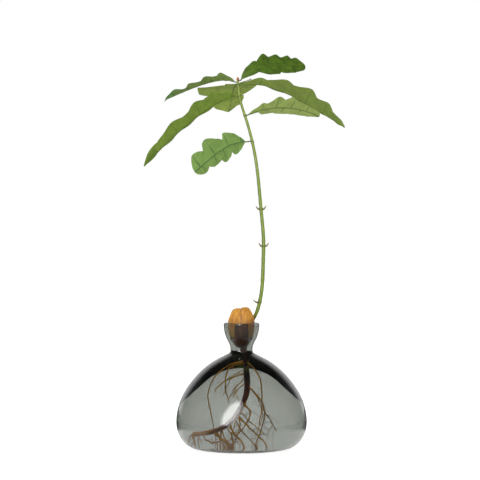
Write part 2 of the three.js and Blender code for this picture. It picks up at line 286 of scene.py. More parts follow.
def grid_faces(rows, columns, wrap=False):
    """Quads between the neighbours of a grid of rows by columns, round to the first column if wrapped."""
    i, j = np.meshgrid(np.arange(rows - 1), np.arange(columns if wrap else columns - 1), indexing="ij")
    k = (j + 1) % columns
    near, far = i * columns, (i + 1) * columns
    return np.stack([near + j, near + k, far + k, far + j], -1).reshape(-1, 4)


def moved_in(line, by):
    """The line moved by a distance towards the axis, square to its own direction at each point."""
    way = np.gradient(line, axis=0)
    way /= np.linalg.norm(way, axis=1)[:, None]
    return line + by * np.stack([-way[:, 1], way[:, 0]], axis=1)


bulb = smooth_line(BULB_OUTLINE, 150)
neck_joint = smooth_line([BULB_OUTLINE[-2], BULB_OUTLINE[-1], *CUP_OUTLINE], 140)
cup_start = np.argmax(neck_joint[:, 1] > BULB_OUTLINE[-1][1])
outer = np.concatenate([bulb[:-1], neck_joint[cup_start:]])
inner = moved_in(outer, WALL)
inner = inner[(inner[:, 1] > FLOOR + 0.05) & (inner[:, 0] > 0)]
lip_turn = np.linspace(0, np.pi, 14)[1:-1, None]
lip_middle = (outer[-1] + inner[-1]) / 2
lip_out = (outer[-1] - inner[-1]) / 2
lip_up = np.array([-lip_out[1], lip_out[0]])
lip = lip_middle + np.cos(lip_turn) * lip_out + np.sin(lip_turn) * lip_up
floor_line = np.stack([np.linspace(inner[0, 0], 0, 20), np.full(20, FLOOR)], axis=1)
foot_line = np.stack([np.linspace(0, BULB_OUTLINE[0][0], 20), np.zeros(20)], axis=1)
vase_profile = np.concatenate([foot_line[:-1], outer, lip, inner[::-1], floor_line])

smoked_glass, glass_tree, _ = node_material(
    "smoked_glass", Base_Color=(0.94, 0.95, 0.94, 1), Roughness=0.0, IOR=1.5, Transmission_Weight=1.0
)
glass_tint = add_node(glass_tree, "VolumeAbsorption", {"Color": (0.603, 0.616, 0.589, 1), "Density": 620})
glass_tree.links.new(glass_tint.outputs["Volume"], glass_tree.nodes["Material Output"].inputs["Volume"])

VASE_SIDES = 180
vase = mesh_object("blown_vase", *turned_surface(vase_profile, VASE_SIDES), smoked_glass)
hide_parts("glass_vase")
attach(vase, "vase")
vase.visible_shadow = False

# Painted shade where the glass stands: a disc on the table that only light through the glass meets, grey under
# the foot and black in a ring round it.
shade_finish, shade_tree, shade_shader = node_material("shade_finish", Roughness=1.0, Specular_IOR_Level=0.0)
shade_place = add_node(shade_tree, "TexCoord").outputs["Object"]
shade_reach = add_node(shade_tree, "VectorMath", {0: shade_place}, operation="LENGTH").outputs["Value"]
SHADE_GREY = (0.12, 0.12, 0.12, 1)
shade_tone = mixed(shade_tree, eased(shade_tree, shade_reach, 0.055, 0.072), SHADE_GREY, BLACK)
shade_tree.links.new(shade_tone, shade_shader.inputs["Base Color"])
SHADE_RADIUS = 113
SHADE_LEVEL = -0.04
SHADE_SHAPE = (0.82, 1, 1)
disc_points, disc_faces = turned_surface([(0, SHADE_LEVEL), (SHADE_RADIUS, SHADE_LEVEL)], 96)
foot_shade = mesh_object("foot_shade", disc_points * SHADE_SHAPE, disc_faces, shade_finish)
foot_shade.visible_camera = foot_shade.visible_diffuse = False
foot_shade.visible_glossy = foot_shade.visible_shadow = False

# ---- Water --------------------------------------------------------------------------------------
# Clear tap water fills the bulb up to the neck. It wets the wall, so its edge climbs the glass.
WATER_HEIGHT = 89
WATER_OVERLAP = 0.12
water_wall = moved_in(outer, WALL - WATER_OVERLAP)
level = water_wall[:, 1]
water_wall = water_wall[(level > FLOOR - WATER_OVERLAP + 0.05) & (level < WATER_HEIGHT + 0.9)]
climb = np.linspace(0, 1, 16)[1:, None]
edge = water_wall[-1]
surface_line = edge * (1 - climb) + np.array([0, edge[1]]) * climb
surface_line[:, 1] = WATER_HEIGHT + (edge[1] - WATER_HEIGHT) * np.exp(-(edge[0] - surface_line[:, 0]) / 1.2)
water_floor = np.stack([np.linspace(0, water_wall[0, 0], 20)[:-1], np.full(19, FLOOR - WATER_OVERLAP)], axis=1)
water_profile = np.concatenate([water_floor, water_wall, surface_line])

clear_water, _, _ = node_material(
    "clear_water", Base_Color=WHITE, Roughness=0.0, IOR=1.333, Transmission_Weight=1.0
)
water = mesh_object("water", *turned_surface(water_profile, VASE_SIDES), clear_water)
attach(water, "vase")
water.visible_shadow = False

# ---- Acorn --------------------------------------------------------------------------------------
# Two swollen seed halves of waxy flesh, split down the middle by the shoot. They stand in the cup on
# their pointed end, streaked from tip to top, and browner below the rim. Painted shade darkens the
# lower right of each half and the split between them.
ACORN_AXIS = (-0.2, -0.5)
ACORN_TIP = 92.8
ACORN_OUTLINE = [
    (0, 0),
    (2.6, 0.9),
    (6.2, 3.6),
    (9, 7.2),
    (11.1, 12),
    (12, 17),
    (12.1, 22),
    (11.5, 27),
    (10.1, 31),
    (8.6, 34),
    (6.6, 35.9),
    (3.2, 36.4),
    (0, 36.3),
]
STEM_ROUTE = [
    (3.9, 3.9, 89.6),
    (4.4, 5, 93.5),
    (5.5, 6.6, 100),
    (7, 8, 107),
    (8.4, 8.4, 114),
    (12.3, 7.2, 121),
    (16, 5.6, 131),
    (19, 3.6, 149),
    (20, 1.6, 172),
    (20.2, 0.6, 193),
    (18.4, 0, 215),
    (16.4, 0, 237),
    (13.6, 0, 262),
    (9.6, 0, 283),
    (3.4, 0, 305),
    (-1.6, 0, 322),
    (-3.4, 0, 337.5),
]
stem_line = smooth_line(STEM_ROUTE, 260)
STEM_THICKEST = 1.8


def growth_group():
    """The uneven tone of grown things: broad patches and fine flecks of noise, each from 0 to 1, drawn
    out along the axis that Stretch makes small."""
    tree = bpy.data.node_groups.new("growth_tone", "ShaderNodeTree")
    tree.interface.new_socket("Stretch", in_out="INPUT", socket_type="NodeSocketVector")
    tree.interface.new_socket("Scale", in_out="INPUT", socket_type="NodeSocketFloat")
    tree.interface.new_socket("Broad", in_out="OUTPUT", socket_type="NodeSocketFloat")
    tree.interface.new_socket("Fine", in_out="OUTPUT", socket_type="NodeSocketFloat")
    given = tree.nodes.new("NodeGroupInput")
    result = tree.nodes.new("NodeGroupOutput")
    place = add_node(tree, "TexCoord").outputs["Object"]
    inputs = {0: place, 1: given.outputs["Stretch"]}
    drawn = add_node(tree, "VectorMath", inputs, operation="MULTIPLY").outputs[0]
    finer = both(tree, given.outputs["Scale"], 5.0)
    for name, scale in (("Broad", given.outputs["Scale"]), ("Fine", finer)):
        noise = add_node(tree, "TexNoise", {"Vector": drawn, "Scale": scale, "Detail": 3.0, "Roughness": 0.6})
        tree.links.new(eased(tree, noise.outputs[0], 0.32, 0.68), result.inputs[name])
    return tree


growth_tone = growth_group()
FLECK_SHARE = 0.55


def grown_material(name, dark, light, fleck, scale, stretch, bump, **values):
    """A Principled material whose colour goes from dark to light in broad patches, with finer flecks, and
    whose surface is raised by the flecks. bump is in millimetres. Returns the colour output as well."""
    material, tree, shader = node_material(name, **values)
    tone = add_node(tree, "Group", node_tree=growth_tone)
    tone.inputs["Stretch"].default_value = stretch
    tone.inputs["Scale"].default_value = scale
    base = mixed(tree, tone.outputs["Broad"], dark, light)
    tint = mixed(tree, both(tree, tone.outputs["Fine"], FLECK_SHARE), base, fleck)
    tree.links.new(tint, shader.inputs["Base Color"])
    inputs = {"Height": tone.outputs["Fine"], "Distance": bump * MM, "Strength": 1.0}
    tree.links.new(add_node(tree, "Bump", inputs).outputs[0], shader.inputs["Normal"])
    return material, tree, shader, tint


acorn_flesh, flesh_tree, flesh_shader, flesh_tint = grown_material(
    "acorn_flesh",
    colour(176, 108, 6),
    colour(238, 174, 44),
    colour(140, 80, 2),
    scale=420,
    stretch=(1, 1, 0.1),
    bump=0.25,
    Roughness=0.42,
    Subsurface_Weight=0.1,
    Subsurface_Radius=(1.0, 0.6, 0.2),
    Subsurface_Scale=0.001,
)
# Painted shade, kept in a point attribute, darkens the flesh towards red-brown.
shaded_flesh = mixed(flesh_tree, attribute_value(flesh_tree, "painted_shade"), flesh_tint, colour(128, 58, 26))
# Browner and duller below the rim.
below_rim = mixed(flesh_tree, attribute_value(flesh_tree, "below_rim"), shaded_flesh, colour(186, 142, 56))
flesh_tree.links.new(below_rim, flesh_shader.inputs["Base Color"])


def step(low, high, x):
    """The smooth step from 0 at low to 1 at high."""
    t = np.clip((x - low) / (high - low), 0, 1)
    return t * t * (3 - 2 * t)


def pushed_off_stem(points, gap):
    """Points nearer to the stem's line than its radius and a gap are moved straight away from it."""
    line = stem_line[stem_line[:, 2] < 150]
    level = np.clip(points[..., 2], line[0, 2], None)
    centre = np.stack([np.interp(level, line[:, 2], line[:, k]) for k in (0, 1)], axis=-1)
    away = points[..., :2] - centre
    distance = np.linalg.norm(away, axis=-1, keepdims=True)
    clear = STEM_THICKEST + gap
    points[..., :2] = np.where(distance < clear, centre + away / distance * clear, points[..., :2])
    return points


def acorn_half(side, split, top_rise):
    """At each height, half a circle of the outline's radius and the straight line that closes it along the
    split. Low lumps run round it, its edges round into the split, and its top rises by top_rise."""
    outline = smooth_line(ACORN_OUTLINE, 110)
    round_turn = np.linspace(-np.pi / 2, np.pi / 2, 64)
    flat = np.linspace(1, -1, 20)[1:-1]
    out = np.concatenate([np.cos(round_turn), 0 * flat])[None]
    along = np.concatenate([np.sin(round_turn), flat])[None]
    radius, height = np.abs(outline[:, :1]), outline[:, 1:]
    lumps = 1 + 0.012 * np.sin(5 * along + 0.35 * height) + 0.01 * np.sin(9 * along - 0.2 * height + side)
    from_split = radius * out
    edge = np.exp(-from_split / 0.8)
    top = step(22, 36, height)
    x = ACORN_AXIS[0] + side * (split / 2 + from_split * lumps)
    y = ACORN_AXIS[1] + radius * along * lumps * (1 - 0.015 * edge)
    dimples = 0.35 * np.sin(1.3 * x + 0.9 * y) - 0.7 * edge * step(0, 3, radius)
    z = ACORN_TIP + height + top * (top_rise + dimples)
    points = pushed_off_stem(np.stack(np.broadcast_arrays(x, y, z), axis=-1), 0.25)
    return points.reshape(-1, 3), grid_faces(*points.shape[:2], wrap=True)


SPLIT = 0.04
for name, side, top_rise in (("acorn_half_left", -1, -0.8), ("acorn_half_right", 1, 0.2)):
    points, faces = acorn_half(side, SPLIT, top_rise)
    # Painted shade: darker and redder towards the right and lower down, and in the split between the halves.
    painted_shade = step(2, 11, points[:, 0]) * step(123, 114, points[:, 2]) * 0.55
    split_shade = np.exp(-np.abs(points[:, 0] - ACORN_AXIS[0]) / 0.5) * 0.6
    # Browner below the rim, fading out between 109 and 114 mm.
    below_rim = step(114, 109, points[:, 2]) * 0.85
    marks = dict(painted_shade=np.maximum(painted_shade, split_shade), below_rim=below_rim)
    flesh = mesh_object(name + "_flesh", points, faces, acorn_flesh, **marks)
    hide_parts(name)
    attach(flesh, "seedling")

# ---- Seed shell ---------------------------------------------------------------------------------
# The acorn's own hard coat, split and half shed. It still holds the pointed end, and one tongue of it
# stands up the front. It is thin, dark brown and shiny.
SHELL_GAP = 0.3
SHELL_THICKNESS = 0.55
nut_shell, _, _, _ = grown_material(
    "nut_shell",
    colour(58, 32, 18),
    colour(122, 72, 44),
    colour(36, 20, 12),
    scale=500,
    stretch=(1, 1, 0.08),
    bump=0.12,
    Roughness=0.3,
    Coat_Weight=0.1,
    Coat_Roughness=0.12,
)


def shell_grid(turns, rows):
    """Round the acorn, each line runs from the tip up its outline to the shell's edge: high on the tongue
    in front, low behind. The outside comes back over the edge and down the inside to close the shell."""
    turn = np.linspace(0, 2 * np.pi, turns, endpoint=False)[None]
    front = np.abs(np.sin((turn + np.pi / 2) / 2))
    ragged = 0.5 * np.sin(9 * turn) + 0.35 * np.sin(17 * turn + 1)
    sides, tongue = step(0.95, 0.55, front), step(0.26, 0.215, front)
    edge = 5.2 + 4.4 * sides + 11.8 * tongue + ragged * step(0.2, 0.35, front)
    edge = edge - 0.35 * step(0.2, 0, front) * np.cos(8 * turn)
    outline = smooth_line(ACORN_OUTLINE, 300)[:-60]
    share = np.concatenate([np.linspace(0, 1, rows), np.linspace(1, 0, rows)])[:, None]
    grown = np.repeat([SHELL_GAP + SHELL_THICKNESS, SHELL_GAP], rows)[:, None]
    height = share * edge
    radius = np.interp(height, outline[:, 1], outline[:, 0])
    flare = 0.5 * step(0.85, 1, share) * step(0.5, 0.3, front)
    reach = radius + (grown + flare) * step(0, 1.5, radius)
    points = [
        ACORN_AXIS[0] + reach * np.cos(turn),
        ACORN_AXIS[1] + reach * np.sin(turn),
        ACORN_TIP + height - grown * (1 - step(0, 7, height)),
    ]
    points = pushed_off_stem(np.stack(np.broadcast_arrays(*points), axis=-1), 0.15)
    return points.reshape(-1, 3), grid_faces(2 * rows, turns, wrap=True)


shell = mesh_object("seed_shell_coat", *shell_grid(180, 60), nut_shell)
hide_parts("seed_shell")
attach(shell, "seedling")

# ---- Root collar --------------------------------------------------------------------------------
# The knobby dark joint under the acorn's tip, from which the shoot turns up and the taproot goes down.
COLLAR = (1.3, 0.8, 89.2)
COLLAR_OUTLINE = [(0, -2.9), (2, -2.5), (2.6, -0.4), (2.5, 1.8), (1.7, 3.1), (0, 3.6)]
root_bark, _, _, _ = grown_material(
    "root_bark",
    colour(64, 28, 16),
    colour(118, 62, 32),
    colour(40, 18, 12),
    scale=600,
    stretch=(1, 1, 0.4),
    bump=0.2,
    Roughness=0.5,
)
collar_points, collar_faces = turned_surface(smooth_line(COLLAR_OUTLINE, 30), 40)
knobs = 1 + 0.07 * np.sin(2.6 * collar_points[:, :1] + 1) * np.cos(3.1 * collar_points[:, 1:2])
collar = mesh_object("root_collar_knot", collar_points * knobs + COLLAR, collar_faces, root_bark)
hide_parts("root_collar")
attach(collar, "seedling")


# ---- Roots --------------------------------------------------------------------------------------
# The woody taproot drops through the neck, swings to the left and forks near the floor. Thin golden side
# roots fan out from it through the water, and carry hair-fine rootlets.
def carried_ring(line, radius, sides):
    """A ring of a given radius at each point of a line, square to it, and a point at both ends. Returns
    the points, the faces, and each point's turn."""
    line = np.asarray(line, dtype=float)
    radius = np.broadcast_to(np.asarray(radius, dtype=float), (len(line),))
    way = np.gradient(line, axis=0)
    way /= np.linalg.norm(way, axis=1)[:, None]
    side = np.cross(way, np.array([0.03, 1, 0.05]))
    side /= np.linalg.norm(side, axis=1)[:, None]
    other = np.cross(side, way)
    keep = np.concatenate([[0], np.arange(len(line)), [len(line) - 1]])
    size = np.concatenate([[0], radius, [0]])[:, None, None]
    turn = np.linspace(0, 2 * np.pi, sides, endpoint=False)
    cosine, sine = np.cos(turn)[None, :, None], np.sin(turn)[None, :, None]
    ring = cosine * side[keep][:, None] + sine * other[keep][:, None]
    points = line[keep][:, None] + size * ring
    turns = np.broadcast_to(turn, points.shape[:2])
    return points.reshape(-1, 3), grid_faces(len(keep), sides, wrap=True), turns.reshape(-1)


def joined(parts):
    """Several point and face arrays as one."""
    starts = np.cumsum([0] + [len(points) for points, _ in parts[:-1]])
    return np.concatenate([p for p, _ in parts]), np.concatenate([f + k for (_, f), k in zip(parts, starts)])


TAPROOT_ROUTE = [
    (1.9, 1, 86.6),
    (3.1, 0.6, 74),
    (3.5, 0, 62),
    (4.1, -0.4, 52),
    (3.4, -0.6, 43.6),
    (-0.5, -0.8, 34),
    (-9.3, -0.6, 22.6),
    (-20.4, -0.4, 18),
    (-34.4, -0.8, 16.9),
]
taproot_line = smooth_line(TAPROOT_ROUTE, 220)
share = np.linspace(0, 1, 220)
taproot_radius = np.interp(share, [0, 0.03, 0.35, 0.75, 1], [2, 2.5, 2.25, 1.5, 1.1])
taproot_radius = taproot_radius * (1 + 0.05 * np.sin(46 * share) + 0.04 * np.sin(91 * share + 1))
taproot_bark, taproot_tree, taproot_shader, taproot_tint = grown_material(
    "taproot_bark",
    colour(70, 26, 16),
    colour(112, 52, 30),
    colour(46, 16, 10),
    scale=500,
    stretch=(1, 1, 0.3),
    bump=0.2,
    Roughness=0.5,
    Specular_IOR_Level=0.2,
)
young = mixed(taproot_tree, attribute_value(taproot_tree, "young"), taproot_tint, colour(176, 120, 44))
# Nearly black at the top of the taproot, up in the neck.
dark_top = mixed(taproot_tree, attribute_value(taproot_tree, "dark_top"), young, colour(24, 8, 4))
taproot_tree.links.new(dark_top, taproot_shader.inputs["Base Color"])
points, faces, _ = carried_ring(taproot_line, taproot_radius, 28)
# Paler towards the forked end, and nearly black above 40 to 60 mm.
taproot_marks = dict(young=step(-8, -33, points[:, 0]), dark_top=0.95 * step(40, 60, points[:, 2]))
taproot = mesh_object("taproot_wood", points, faces, taproot_bark, **taproot_marks)
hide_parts("taproot")
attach(taproot, "seedling")

fine_root, _, _, _ = grown_material(
    "fine_root",
    colour(148, 98, 0),
    colour(198, 144, 20),
    colour(106, 68, 0),
    scale=300,
    stretch=(1, 1, 1),
    bump=0.05,
    Roughness=0.5,
    Specular_IOR_Level=0.2,
)
SIDE_ROOTS = {
    "side_root_right": [
        (4.9, -1.2, 49.6), (9.5, -3.6, 45.1), (14.2, -6, 39.4), (16.8, -8, 33.3), (16.1, -7.4, 26.3),
        (10.2, -5.6, 12.4), (7, -6, 6),
    ],
    "side_root_far_right": [
        (4.3, -0.8, 71.6), (11.4, -6, 64), (14.4, -9, 56), (15.3, -11, 43.8), (14.4, -11, 32.6),
        (12.9, -10, 22),
    ],
    "side_root_far_left": [
        (1.9, -0.6, 73.4), (-12, -6, 68.6), (-22.5, -12, 59), (-25.7, -14, 48.7), (-24.1, -12, 37.3),
        (-19.6, -4.6, 20),
    ],
    "side_root_left": [
        (2.4, -0.8, 71), (-10.4, -6, 65.4), (-12.1, -8, 57.3), (-11.9, -8, 50.6), (-9.1, -6, 38.3),
    ],
    "side_root_cross": [
        (2.4, -0.8, 60.8), (-4, -4, 59.5), (-9.4, -5.4, 57.3), (-16.1, -7, 52.5), (-20.4, -8, 47),
    ],
    "side_root_long": [
        (-3.2, -1.6, 28.8), (3.7, -5, 22.1), (10.1, -8, 17.6), (16.9, -12, 12.7), (24, -16, 7),
    ],
    "side_root_loop": [
        (1.5, -1.6, 36.4), (5.9, -5, 32), (5.7, -6.6, 27.7), (3.1, -8.4, 23.2), (-1.4, -10, 18.2),
        (-5.4, -11, 13),
    ],
    "side_root_floor_right": [
        (-18.6, -1.4, 17.4), (-9.7, -8, 12.5), (3.3, -14, 9.6), (15.6, -20, 7.4), (24, -23, 6),
    ],
    "side_root_floor_middle": [(-8.3, -1.6, 21), (-2.5, -6.4, 15), (6.2, -12, 9.4), (12.4, -17, 6.4)],
    "side_root_floor_left": [(-14, -1.4, 18.6), (-14.8, -5, 11.6), (-13.4, -8, 8.4), (-12, -12, 6)],
    "taproot_fork": [(-34.2, -1, 16.6), (-33.6, -4, 11.5), (-31.2, -7, 6.4)],
}
BULB_ROOM = moved_in(bulb, WALL + 0.9)


def kept_in_bulb(line):
    """Points outside the glass's inner wall are moved straight in to it, and none lies below the floor."""
    line[:, 2] = np.maximum(line[:, 2], FLOOR + 0.5)
    room = np.interp(line[:, 2], BULB_ROOM[:, 1], BULB_ROOM[:, 0])
    reach = np.linalg.norm(line[:, :2], axis=1)
    line[:, :2] *= np.minimum(1, room / np.maximum(reach, 0.01))[:, None]
    return line


def wandering(line, amount, seed):
    """The line moved from side to side by three slow waves of a seeded start, and by nothing at its foot."""
    draw = np.random.default_rng(seed)
    s = np.linspace(0, 1, len(line))[:, None]
    waves = sum(np.sin(2 * np.pi * (k * s + draw.random(3))) / k for k in (2.3, 4.1, 7.7))
    return line + amount * waves * np.minimum(1, 6 * s)


root_lines = {}
for number, (name, route) in enumerate(SIDE_ROOTS.items()):
    line = kept_in_bulb(wandering(smooth_line(route, 90), 0.45, number))
    root_lines[name] = line
    thick = 1.2 if name == "taproot_fork" else 0.68
    points, faces, _ = carried_ring(line, np.linspace(thick, 0.5 * thick, len(line)), 12)
    side_root = mesh_object(name + "_strand", points, faces, fine_root)
    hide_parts(name)
    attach(side_root, "seedling")

# More side roots, too thin to carry anything.
THIN_ROOTS = [
    [(2.2, -0.8, 56.7), (-4, -5, 49.8), (-9.1, -8, 42.1)],
    [(2.4, -0.8, 51.7), (-2.5, -4, 47.9), (-6.5, -7, 42.1)],
    [(2, -0.8, 64), (-5, -4, 60.5), (-10, -7, 53), (-13.4, -9, 44)],
    [(5, -1, 49.6), (10.4, -5, 43.4), (14.4, -9, 36), (14.6, -10, 27), (11, -8, 18)],
    [(3.4, -0.8, 40), (1, -5, 33), (-4, -8, 26), (-6, -9, 20)],
    [(-2.5, -1, 29), (-1.1, -5, 22.6), (-2.5, -9, 17.3), (-6.9, -12, 11.8)],
    [(-5, -1, 26), (1.8, -7, 17.2), (10.6, -12, 11.8), (17, -15, 9)],
    [(-7.3, -1, 22.4), (-6, -6, 14), (-3, -9, 6.5)],
    [(-10, -1, 20.6), (-6.7, -6, 14.9), (-5.5, -10, 8)],
    [(-13.5, -1, 19), (-11, -6, 14.1), (-4.1, -10, 10), (6, -12, 8)],
    [(-17, -1, 18), (-13.1, -6, 13), (-7.1, -10, 8)],
    [(-18.4, -1, 17.8), (-17.4, -5, 12.5), (-15.4, -9, 6.7)],
    [(-26.9, -1, 17), (-24.7, -4, 14), (-17.9, -7, 13.4), (-9.9, -9, 13.6)],
    [(-30, -1, 17), (-31, -4, 12), (-33, -7, 7.5)],
    [(-34.4, -1, 17), (-40.1, -4, 13.2), (-43.3, -5, 8)],
    [(13.7, 8, 32.1), (17.4, 12, 25.4), (22, 16, 17.3)],
    [(-1, -1, 31), (5.4, -5, 25), (12, -8, 20), (17, -10, 17)],
]
rng = np.random.default_rng(7)
thin_parts = []
for number, route in enumerate(THIN_ROOTS):
    line = kept_in_bulb(wandering(smooth_line(route, 50), 0.5, 40 + number))
    root_lines[number] = line
    points, faces, _ = carried_ring(line, np.linspace(0.44, 0.22, 50), 8)
    thin_parts.append((points, faces))
thin_roots = mesh_object("thin_roots", *joined(thin_parts), fine_root)
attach(thin_roots, "seedling")

# Rootlets: short hairs that leave the other roots in every direction and bend down.
ROOTLETS_EACH = 9
hair_parts = []
for line in root_lines.values():
    for _ in range(ROOTLETS_EACH):
        foot = line[rng.integers(6, len(line) - 2)]
        way = rng.normal(size=3) * (1, 0.6, 0.6)
        way = way / np.linalg.norm(way)
        length = rng.uniform(2.5, 8)
        s = np.linspace(0, 1, 8)[:, None]
        hair = kept_in_bulb(foot + length * (s * way + s * s * (0, 0, -0.5)))
        hair[0] = foot
        hair_parts.append(carried_ring(hair, np.linspace(0.15, 0.08, 8), 5)[:2])
rootlets = mesh_object("rootlets", *joined(hair_parts), fine_root)
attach(rootlets, "seedling")

# ---- Stem ---------------------------------------------------------------------------------------
# One green shoot, not yet woody. It swells at each joint, where a pair of bud scales or a leaf leaves it,
# and painted shade darkens one side of it.
STEM_SIZES = [(89, 1.1), (100, 1.45), (130, 1.75), (200, 1.6), (260, 1.45), (320, 1.15), (338, 0.95)]
STEM_JOINTS = [134, 186, 220, 282, 306, 324, 334]
green_bark, bark_tree, bark_shader, bark_tint = grown_material(
    "green_bark",
    colour(98, 122, 22),
    colour(124, 146, 38),
    colour(134, 152, 52),
    scale=500,
    stretch=(1, 1, 0.12),
    bump=0.08,
    Roughness=0.42,
)
shaded_side = mixed(bark_tree, attribute_value(bark_tree, "shade"), bark_tint, colour(58, 80, 12))
scarred = mixed(bark_tree, attribute_value(bark_tree, "scar"), shaded_side, colour(66, 48, 18))
bark_tree.links.new(scarred, bark_shader.inputs["Base Color"])
stem_fine = smooth_line(STEM_ROUTE, 520)
height = stem_fine[:, 2]
joint_bumps = sum(np.exp(-(((height - z) / 1.6) ** 2)) for z in STEM_JOINTS)
stem_radius = np.interp(height, *zip(*STEM_SIZES)) * (1 + 0.03 * np.sin(height * 0.7)) + 0.22 * joint_bumps
points, faces, turns = carried_ring(stem_fine, stem_radius, 28)
scar = sum(np.exp(-(((points[:, 2] - z) / 0.8) ** 2)) for z in STEM_JOINTS) * 0.6
scar = np.maximum(scar, step(122, 118.5, points[:, 2]) * 0.95)
# Painted shade: one side of the stem darker green.
shade = 0.7 * step(0.2, 0.95, np.cos(turns))
stem = mesh_object("stem_bark", points, faces, green_bark, shade=shade, scar=scar)
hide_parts("stem")
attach(stem, "seedling")

# ---- Bud scales and terminal bud ----------------------------------------------------------------
# Narrow pointed scales stand off the stem's joints, brown where they have dried. The tight bud on the
# stem's end is wrapped in short reddish scales.
SCALES = {
    "upper_scale_left": (220, -1, 2.4, 3),
    "upper_scale_right": (220, 1, 2.4, 3.4),
    "middle_scale_left": (186, -1, 2.2, 3.4),
    "middle_scale_right": (186, 1, 2.4, 3.4),
    "lower_scale_left": (134, -1, 3.6, 3),
}
bud_scale, _, _, _ = grown_material(
    "bud_scale",
    colour(112, 96, 30),
    colour(132, 140, 48),
    colour(84, 52, 20),
    scale=900,
    stretch=(1, 1, 0.3),
    bump=0.06,
    Roughness=0.6,
)
for name, (level, side, reach, rise) in SCALES.items():
    foot = np.array([np.interp(level, height, stem_fine[:, k]) for k in range(3)])
    foot[0] += side * np.interp(level, height, stem_radius)
    s = np.linspace(0, 1, 24)
    across = foot[0] + side * reach * 1.25 * s**0.8
    line = np.stack([across, foot[1] + 0 * s, foot[2] - 0.3 + rise * s**1.4], axis=1)
    points, faces, _ = carried_ring(line, 0.85 * (1 - s) ** 0.6 + 0.06, 14)
    scale = mesh_object(name + "_husk", points, faces, bud_scale)
    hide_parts(name)
    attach(scale, "seedling")

BUD_OUTLINE = [(0, -0.3), (0.9, 0.2), (1.25, 1.4), (0.75, 2.8), (0, 3.9)]
bud_red, _, _, _ = grown_material(
    "bud_red",
    colour(150, 66, 30),
    colour(190, 110, 50),
    colour(110, 120, 40),
    scale=900,
    stretch=(1, 1, 0.5),
    bump=0.08,
    Roughness=0.5,
)
bud_points, bud_faces = turned_surface(smooth_line(BUD_OUTLINE, 60), 60)
bud_turn = np.arctan2(bud_points[:, 1], bud_points[:, 0])
overlap = 1 + 0.12 * np.abs(np.sin(2.5 * bud_turn + 2.2 * bud_points[:, 2]))
bud_points[:, :2] *= overlap[:, None]
bud_place = np.add(STEM_ROUTE[-1], (0, 0, 0.3))
bud = mesh_object("terminal_bud_scales", bud_points + bud_place, bud_faces, bud_red)
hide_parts("terminal_bud")
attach(bud, "seedling")

# ---- Leaves -------------------------------------------------------------------------------------
# Seven oak leaves spring from the top of the stem on short stalks. Each blade is thin, lobed and a little
# quilted between its side veins, which stand out on its pale underside.
STALK_RADIUS = 0.6
BLADE_HALF_THICKNESS = 0.15
TIP_START = 0.88
VEIN_RELIEF = 0.05


def vein_group():
    """A leaf's veins: a midrib where Reach is small, a side vein wherever Phase is a whole number, and a
    net of small ones. Spacing is the distance between side veins and Reach is in millimetres."""
    tree = bpy.data.node_groups.new("leaf_veins", "ShaderNodeTree")
    for name in ("Phase", "Reach", "Across", "Spacing"):
        tree.interface.new_socket(name, in_out="INPUT", socket_type="NodeSocketFloat")
    for name in ("Vein", "Net"):
        tree.interface.new_socket(name, in_out="OUTPUT", socket_type="NodeSocketFloat")
    given = tree.nodes.new("NodeGroupInput").outputs
    result = tree.nodes.new("NodeGroupOutput")

    def maths(operation, first, second=0.0):
        return add_node(tree, "Math", {0: first, 1: second}, operation=operation).outputs[0]

    midrib = eased(tree, given["Reach"], 0.35, 0.85, 1.0, 0.0)
    offset = maths("ABSOLUTE", maths("SUBTRACT", maths("FRACT", maths("ADD", given["Phase"], 0.5)), 0.5))
    from_vein = maths("MULTIPLY", offset, given["Spacing"])
    side_vein = eased(tree, from_vein, 0.2, 0.6, 1.0, 0.0)
    fading = eased(tree, given["Across"], 0.25, 0.95, 1.0, 0.25)
    veins = maths("MAXIMUM", midrib, maths("MULTIPLY", side_vein, fading))
    along = maths("MULTIPLY", given["Phase"], given["Spacing"])
    flat_place = add_node(tree, "CombineXYZ", {0: along, 1: given["Reach"]}).outputs[0]
    cells = add_node(tree, "TexVoronoi", {"Vector": flat_place, "Scale": 0.9}, feature="DISTANCE_TO_EDGE")
    tree.links.new(veins, result.inputs["Vein"])
    tree.links.new(eased(tree, cells.outputs["Distance"], 0.0, 0.16, 1.0, 0.0), result.inputs["Net"])
    return tree


leaf_veins = vein_group()


def leaf_material(name, upper, under, vein, spacing):
    """Waxy above and matt below: the upper or the under colour with growth tones, and the veins drawn in.
    Only the underside shows its veins strongly."""
    material, tree, shader = node_material(name, Roughness=0.55, Specular_IOR_Level=0.2)
    tone = add_node(tree, "Group", node_tree=growth_tone)
    tone.inputs["Stretch"].default_value = (1, 1, 1)
    tone.inputs["Scale"].default_value = 160
    below = attribute_value(tree, "underside")
    net = add_node(tree, "Group", node_tree=leaf_veins)
    for key in ("Phase", "Reach", "Across"):
        tree.links.new(attribute_value(tree, key.lower()), net.inputs[key])
    net.inputs["Spacing"].default_value = spacing

    def toned(base, depth):
        dark = (*(np.array(base[:3]) * (1 - depth)).tolist(), 1)
        light = (*(np.array(base[:3]) * (1 + depth)).tolist(), 1)
        return mixed(tree, tone.outputs["Broad"], dark, light)

    blade = mixed(tree, below, toned(upper, 0.28), toned(under, 0.1))
    netted = mixed(tree, eased(tree, net.outputs["Net"], 0, 1, 0.0, 0.12), blade, vein)
    strength = eased(tree, below, 0, 1, 0.25, 0.7)
    veined = both(tree, net.outputs["Vein"], strength)
    tree.links.new(mixed(tree, veined, netted, vein), shader.inputs["Base Color"])
    inputs = {0: net.outputs["Vein"], 1: net.outputs["Net"]}
    raised = add_node(tree, "Math", inputs, operation="MAXIMUM").outputs[0]
    inputs = {"Height": raised, "Distance": VEIN_RELIEF * MM, "Strength": 1.0}
    tree.links.new(add_node(tree, "Bump", inputs).outputs[0], shader.inputs["Normal"])
    return material


